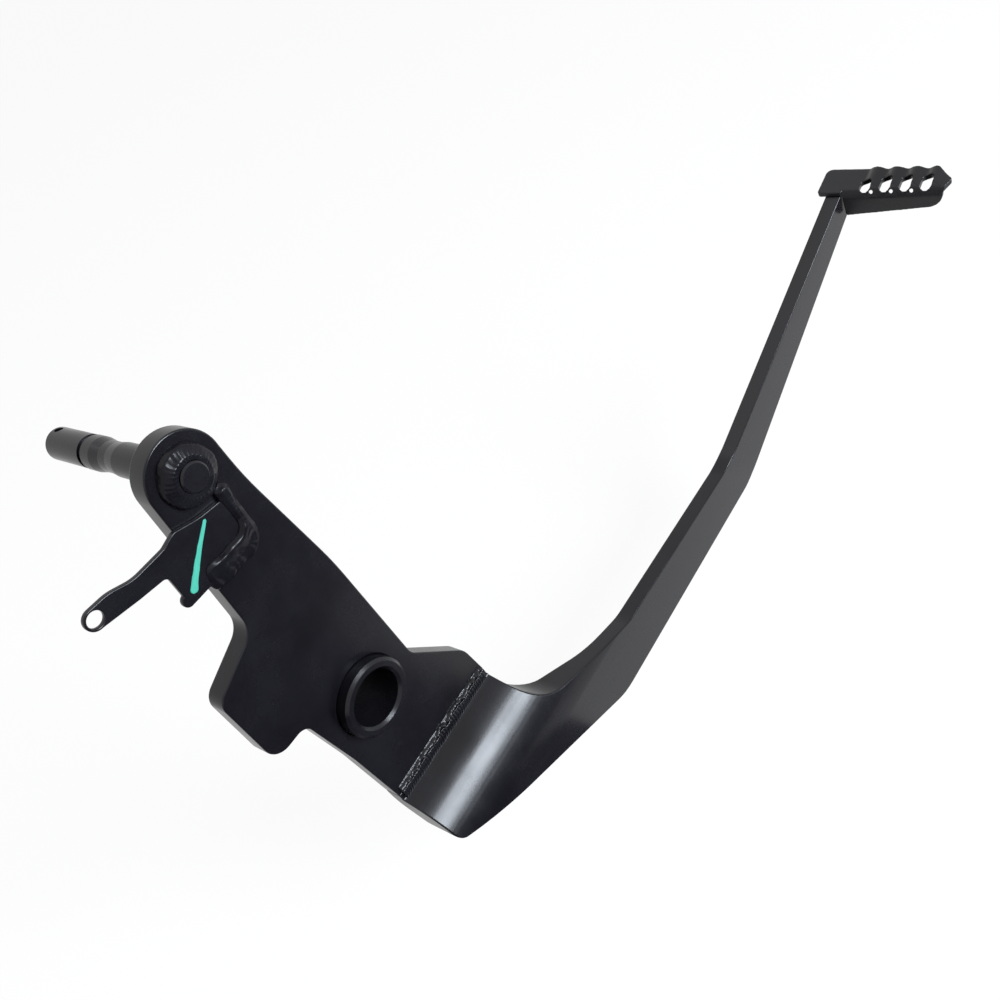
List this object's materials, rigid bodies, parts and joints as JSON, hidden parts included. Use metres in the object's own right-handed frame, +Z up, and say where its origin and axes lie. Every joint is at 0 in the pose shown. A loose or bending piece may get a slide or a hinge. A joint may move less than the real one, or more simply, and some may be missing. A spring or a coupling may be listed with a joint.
{
  "type": "rear brake pedal",
  "caption": "Welded steel rear brake pedal: plate with pivot bush, rod pin, spring bracket and stop lobe, offset arm and slotted foot pad.",
  "frame": {"origin": "on the pivot axis, at the outer face of the rear plate", "axes": "+X forward towards the foot pad, +Y inboard along the pivot axis, +Z up as the pedal hangs on its pivot"},
  "size_m": [0.3445, 0.1429, 0.1999],
  "materials": {
    "black_coat": "satin black powder coat over steel",
    "weld_coat": "satin black powder coat over weld metal",
    "mark_paint": "dab of green inspection paint"
  },
  "bodies": {
    "root": {"rear_plate": "black_coat", "front_arm": "black_coat", "pivot_bush": "black_coat", "rod_pin": "black_coat", "spring_bracket": "black_coat", "foot_pad": "black_coat", "seam_weld": "weld_coat", "seam_back_weld": "weld_coat", "pin_weld": "weld_coat", "pin_back_weld": "weld_coat", "bush_weld": "weld_coat", "bracket_weld": "weld_coat", "tip_outer_weld": "weld_coat", "tip_inner_weld": "weld_coat"}
  },
  "joints": []
}
